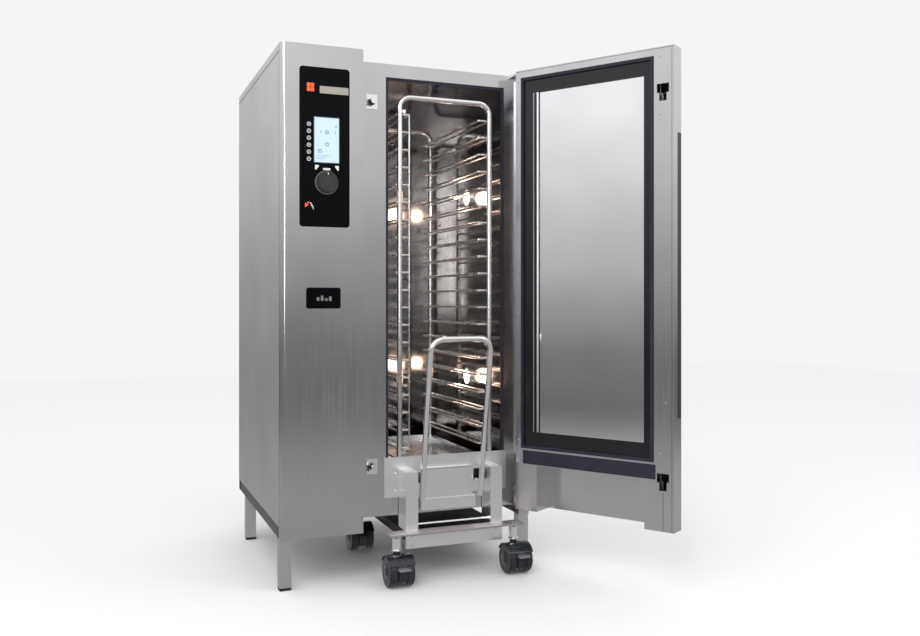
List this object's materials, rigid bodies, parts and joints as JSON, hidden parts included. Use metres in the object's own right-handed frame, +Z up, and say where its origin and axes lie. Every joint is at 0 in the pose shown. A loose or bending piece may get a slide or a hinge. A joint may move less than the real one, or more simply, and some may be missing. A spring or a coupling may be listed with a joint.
{
  "type": "combi steamer oven",
  "caption": "Roll-in combi steamer oven with a side control column, tall hinged glass door and a wheeled rack trolley with a lift-off push handle.",
  "frame": {"origin": "centre of the footprint's bounding box at floor level, with the door standing open", "axes": "+X to the right seen from the front, +Y to the back, +Z up"},
  "size_m": [1.2598, 1.5038, 1.841],
  "materials": {
    "brushed_steel": "brushed",
    "frame_steel": "satin dark",
    "inner_steel": "mill finish",
    "cavity_steel": "polished",
    "polished_steel": "polished",
    "trolley_steel": "bead blasted",
    "mineral_wool": "fibrous",
    "seal_rubber": "matt",
    "heater_sheath": "dull",
    "motor_paint": "satin",
    "lamp_glass": "clear",
    "circuit_board": "satin",
    "black_glass": "gloss",
    "screen": "lit",
    "icon_print": "gloss",
    "brass": "satin",
    "black_plastic": "satin",
    "black_enamel": "gloss",
    "door_glass": "coated",
    "caster_plastic": "satin",
    "caster_tread": "matt"
  },
  "bodies": {
    "oven": {"base_frame": "frame_steel", "legs": "brushed_steel", "foot_pads": "black_plastic", "inner_chassis": "inner_steel", "left_panel": "brushed_steel", "right_panel": "brushed_steel", "rear_panel": "brushed_steel", "top_panels": "brushed_steel", "column_cover": "brushed_steel", "front_frame": "brushed_steel", "cavity_liner": "cavity_steel", "insulation": "mineral_wool", "throat_seal": "seal_rubber", "fan_baffle": "cavity_steel", "heating_elements": "heater_sheath", "fan_motors": "motor_paint", "lamp_bezels": "polished_steel", "lamp_lenses": "lamp_glass", "steam_generator": "inner_steel", "control_electronics": "circuit_board", "control_glass": "black_glass", "display_screen": "screen", "panel_icons": "icon_print", "latch_strikes": "polished_steel", "hinge_brackets": "inner_steel", "water_inlets": "brass", "drain_pipe": "inner_steel", "cable_gland": "black_plastic", "roof_vents": "brushed_steel"},
    "fan_lower": {"fan_wheel_lower": "cavity_steel"},
    "fan_upper": {"fan_wheel_upper": "cavity_steel"},
    "encoder": {"encoder_shaft": "polished_steel"},
    "control_knob": {"knob": "black_plastic"},
    "door": {"door_shell": "brushed_steel", "door_inner_frame": "brushed_steel", "door_glass_frame": "black_enamel", "door_inner_glass": "door_glass", "door_outer_glass": "door_glass", "door_gasket": "seal_rubber", "door_hinge_blocks": "inner_steel"},
    "door_lock": {"lock_bar": "inner_steel"},
    "door_lever": {"door_handle": "black_plastic"},
    "trolley": {"trolley_chassis": "inner_steel", "trolley_u_frame": "trolley_steel", "trolley_shield": "trolley_steel", "rack_hoops": "polished_steel", "rack_runners": "polished_steel", "drip_tray": "cavity_steel"},
    "pan_rod": {"retaining_rod": "polished_steel"},
    "handle": {"push_handle": "polished_steel"},
    "swivel_fl": {"caster_fl": "caster_plastic"},
    "roller_fl": {"wheels_fl": "caster_tread"},
    "swivel_fr": {"caster_fr": "caster_plastic"},
    "roller_fr": {"wheels_fr": "caster_tread"},
    "swivel_rl": {"caster_rl": "caster_plastic"},
    "roller_rl": {"wheels_rl": "caster_tread"},
    "swivel_rr": {"caster_rr": "caster_plastic"},
    "roller_rr": {"wheels_rr": "caster_tread"},
    "brake_fl": {"pedal_fl": "caster_plastic"},
    "brake_fr": {"pedal_fr": "caster_plastic"}
  },
  "joints": [
    {"name": "door_hinge", "type": "hinge", "parent": "oven", "child": "door", "pos_m": [0.27324, -0.21108, 1], "axis": [0, 0, 1], "range_deg": [-122, 0]},
    {"name": "lever_turn", "type": "hinge", "parent": "door", "child": "door_lever", "pos_m": [0.59623, -0.67136, 0.994], "axis": [0.848, 0.5299, 0], "range_deg": [-90, 0]},
    {"name": "lock_slide", "type": "slide", "parent": "door", "child": "door_lock", "axis": [0, 0, 1], "range_m": [0, 0.026]},
    {"name": "fan_lower_spin", "type": "hinge", "parent": "oven", "child": "fan_lower", "pos_m": [-0.33676, 0.24067, 0.69241], "axis": [1, 0, 0], "continuous": true},
    {"name": "fan_upper_spin", "type": "hinge", "parent": "oven", "child": "fan_upper", "pos_m": [-0.33676, 0.24067, 1.38942], "axis": [1, 0, 0], "continuous": true},
    {"name": "knob_push", "type": "slide", "parent": "oven", "child": "encoder", "axis": [0, 1, 0], "range_m": [0, 0.0012], "stiffness_N_per_m": 1500},
    {"name": "knob_turn", "type": "hinge", "parent": "encoder", "child": "control_knob", "pos_m": [-0.47076, -0.21858, 1.376], "axis": [0, -1, 0], "continuous": true},
    {"name": "trolley_roll", "type": "slide", "parent": "oven", "child": "trolley", "axis": [0, -1, 0], "range_m": [0, 1.1]},
    {"name": "pan_rod_turn", "type": "hinge", "parent": "trolley", "child": "pan_rod", "pos_m": [-0.17076, -0.14508, 1], "axis": [0, 0, -1], "range_deg": [0, 100]},
    {"name": "handle_off", "type": "slide", "parent": "trolley", "child": "handle", "axis": [-0.22, -0.9755, 0], "range_m": [0, 1.4]},
    {"name": "swivel_fl_turn", "type": "hinge", "parent": "trolley", "child": "swivel_fl", "pos_m": [-0.23576, -0.25608, 0.15], "axis": [0, 0, 1], "continuous": true},
    {"name": "wheels_fl_spin", "type": "hinge", "parent": "swivel_fl", "child": "roller_fl", "pos_m": [-0.23576, -0.27808, 0.052], "axis": [1, 0, 0], "continuous": true},
    {"name": "swivel_fr_turn", "type": "hinge", "parent": "trolley", "child": "swivel_fr", "pos_m": [0.20624, -0.25608, 0.15], "axis": [0, 0, 1], "continuous": true},
    {"name": "wheels_fr_spin", "type": "hinge", "parent": "swivel_fr", "child": "roller_fr", "pos_m": [0.20624, -0.27808, 0.052], "axis": [1, 0, 0], "continuous": true},
    {"name": "swivel_rl_turn", "type": "hinge", "parent": "trolley", "child": "swivel_rl", "pos_m": [-0.23576, 0.23892, 0.15], "axis": [0, 0, 1], "continuous": true},
    {"name": "wheels_rl_spin", "type": "hinge", "parent": "swivel_rl", "child": "roller_rl", "pos_m": [-0.23576, 0.21692, 0.052], "axis": [1, 0, 0], "continuous": true},
    {"name": "swivel_rr_turn", "type": "hinge", "parent": "trolley", "child": "swivel_rr", "pos_m": [0.20624, 0.23892, 0.15], "axis": [0, 0, 1], "continuous": true},
    {"name": "wheels_rr_spin", "type": "hinge", "parent": "swivel_rr", "child": "roller_rr", "pos_m": [0.20624, 0.21692, 0.052], "axis": [1, 0, 0], "continuous": true},
    {"name": "brake_fl_press", "type": "hinge", "parent": "swivel_fl", "child": "brake_fl", "pos_m": [-0.23576, -0.33391, 0.072], "axis": [1, 0, 0], "range_deg": [0, 15]},
    {"name": "brake_fr_press", "type": "hinge", "parent": "swivel_fr", "child": "brake_fr", "pos_m": [0.20624, -0.33391, 0.072], "axis": [1, 0, 0], "range_deg": [0, 15]}
  ],
  "couplings": [
    {"joint": "lock_slide", "follows": "lever_turn", "m_per_rad": -0.016552},
    {"joint": "handle_off", "follows": "door_hinge", "m_per_rad": -0.65749}
  ]
}
